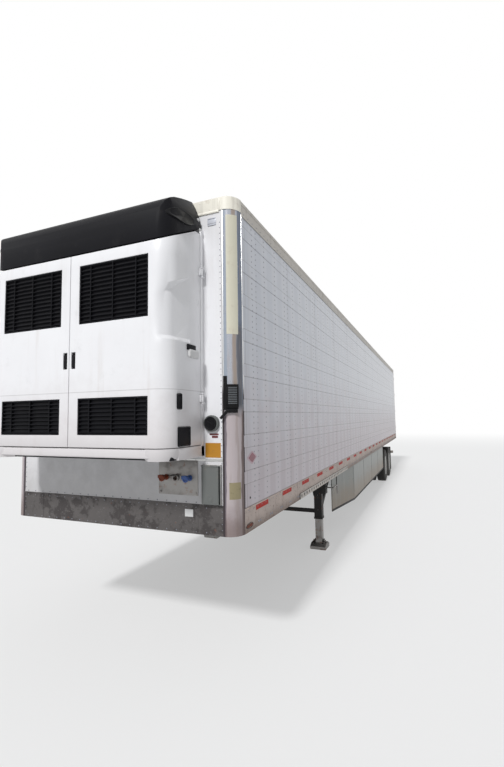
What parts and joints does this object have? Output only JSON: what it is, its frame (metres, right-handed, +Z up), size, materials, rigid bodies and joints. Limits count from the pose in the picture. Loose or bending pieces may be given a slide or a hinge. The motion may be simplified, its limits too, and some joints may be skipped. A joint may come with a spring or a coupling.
{
  "type": "refrigerated semi trailer",
  "caption": "Refrigerated van semi trailer with a cooling unit on its front wall, swinging rear doors, sliding tandem and landing gear.",
  "frame": {"origin": "on the ground, at the centre of the overall box", "axes": "+Z up, +Y to the rear, +X to the road side (the driver's side, which the names call left)"},
  "size_m": [2.6, 16.784, 4.115],
  "materials": {
    "white_panel": "white gloss paint on riveted panels",
    "cream_paint": "cream white gloss paint",
    "corner_metal": "bright rolled sheet, dull below",
    "front_steel": "scuffed steel sheet",
    "rail_metal": "dull mill finish with grey-brown film",
    "lower_rail_metal": "mill finish under tan road dirt",
    "roof_metal": "thin white sheet, chalky",
    "floor_metal": "ribbed light metal, worn",
    "liner_plastic": "white moulded liner",
    "black_steel": "black chassis paint, dusty",
    "bare_steel": "worn bare steel",
    "frame_steel": "stainless steel, satin",
    "skirt_panel": "grey-green satin panel",
    "tank_metal": "bright rolled sheet",
    "rubber": "black rubber",
    "tyre_rubber": "worn black tread, dusty walls",
    "wheel_steel": "white painted steel with rust at the nuts",
    "lamp_red": "red lens",
    "unit_skin": "white moulded composite",
    "unit_black": "black moulded composite",
    "engine_block": "dark cast iron",
    "grey_box": "grey moulded plastic",
    "black_plastic": "black moulded plastic"
  },
  "bodies": {
    "trailer_body": {"bottom_rails": "lower_rail_metal", "connection_plate": "bare_steel", "corner_display": "black_plastic", "crossmembers": "black_steel", "dock_bumpers": "rubber", "document_box": "grey_box", "document_can": "black_plastic", "floor": "floor_metal", "front_cap": "cream_paint", "front_corners": "corner_metal", "front_sill": "front_steel", "front_wall": "white_panel", "fuel_tank": "tank_metal", "kingpin": "bare_steel", "lamps": "lamp_red", "landing_braces": "black_steel", "landing_crank": "bare_steel", "landing_feet": "bare_steel", "landing_legs": "black_steel", "pierced_rails": "corner_metal", "rear_frame": "frame_steel", "rear_guard": "frame_steel", "return_bulkhead": "liner_plastic", "roof": "roof_metal", "side_skirts": "skirt_panel", "side_wall_left": "white_panel", "side_wall_right": "white_panel", "skirt_struts": "black_steel", "tandem_body_rails": "black_steel", "top_rails": "rail_metal", "unit_engine": "engine_block", "unit_housing": "unit_black", "upper_coupler": "bare_steel"},
    "tandem": {"slider_frame": "black_steel", "trailing_arms": "black_steel", "air_springs": "rubber", "axles": "black_steel", "air_tank": "black_steel", "mud_flaps": "rubber"},
    "document_lid": {"document_lid": "grey_box"},
    "rear_door_left": {"rear_door_left": "white_panel", "rear_door_left_hardware": "frame_steel"},
    "unit_door_left": {"unit_door_left": "unit_skin"},
    "dual_front_left": {"wheels_front_left": "wheel_steel", "tyres_front_left": "tyre_rubber"},
    "dual_rear_left": {"wheels_rear_left": "wheel_steel", "tyres_rear_left": "tyre_rubber"},
    "rear_door_right": {"rear_door_right": "white_panel", "rear_door_right_hardware": "frame_steel"},
    "unit_door_right": {"unit_door_right": "unit_skin"},
    "dual_front_right": {"wheels_front_right": "wheel_steel", "tyres_front_right": "tyre_rubber"},
    "dual_rear_right": {"wheels_rear_right": "wheel_steel", "tyres_rear_right": "tyre_rubber"}
  },
  "joints": [
    {"name": "tandem_slide", "type": "slide", "parent": "trailer_body", "child": "tandem", "axis": [0, 1, 0], "range_m": [0, 2.1]},
    {"name": "document_lid_hinge", "type": "hinge", "parent": "trailer_body", "child": "document_lid", "pos_m": [1.054, -7.871, 1.751], "axis": [-1, 0, 0], "range_deg": [0, 100]},
    {"name": "rear_door_left_hinge", "type": "hinge", "parent": "trailer_body", "child": "rear_door_left", "pos_m": [1.288, 8.376, 2.6775], "axis": [0, 0, -1], "range_deg": [0, 270]},
    {"name": "unit_door_left_hinge", "type": "hinge", "parent": "trailer_body", "child": "unit_door_left", "pos_m": [0.994, -7.89, 2.87], "axis": [0, 0, 1], "range_deg": [0, 90]},
    {"name": "wheel_front_left", "type": "hinge", "parent": "tandem", "child": "dual_front_left", "pos_m": [0.993, 3.8005, 0.508], "axis": [1, 0, 0], "continuous": true},
    {"name": "wheel_rear_left", "type": "hinge", "parent": "tandem", "child": "dual_rear_left", "pos_m": [0.993, 5.0455, 0.508], "axis": [1, 0, 0], "continuous": true},
    {"name": "rear_door_right_hinge", "type": "hinge", "parent": "trailer_body", "child": "rear_door_right", "pos_m": [-1.288, 8.376, 2.6775], "axis": [0, 0, 1], "range_deg": [0, 270]},
    {"name": "unit_door_right_hinge", "type": "hinge", "parent": "trailer_body", "child": "unit_door_right", "pos_m": [-0.994, -7.89, 2.87], "axis": [0, 0, -1], "range_deg": [0, 90]},
    {"name": "wheel_front_right", "type": "hinge", "parent": "tandem", "child": "dual_front_right", "pos_m": [-0.993, 3.8005, 0.508], "axis": [1, 0, 0], "continuous": true},
    {"name": "wheel_rear_right", "type": "hinge", "parent": "tandem", "child": "dual_rear_right", "pos_m": [-0.993, 5.0455, 0.508], "axis": [1, 0, 0], "continuous": true}
  ]
}
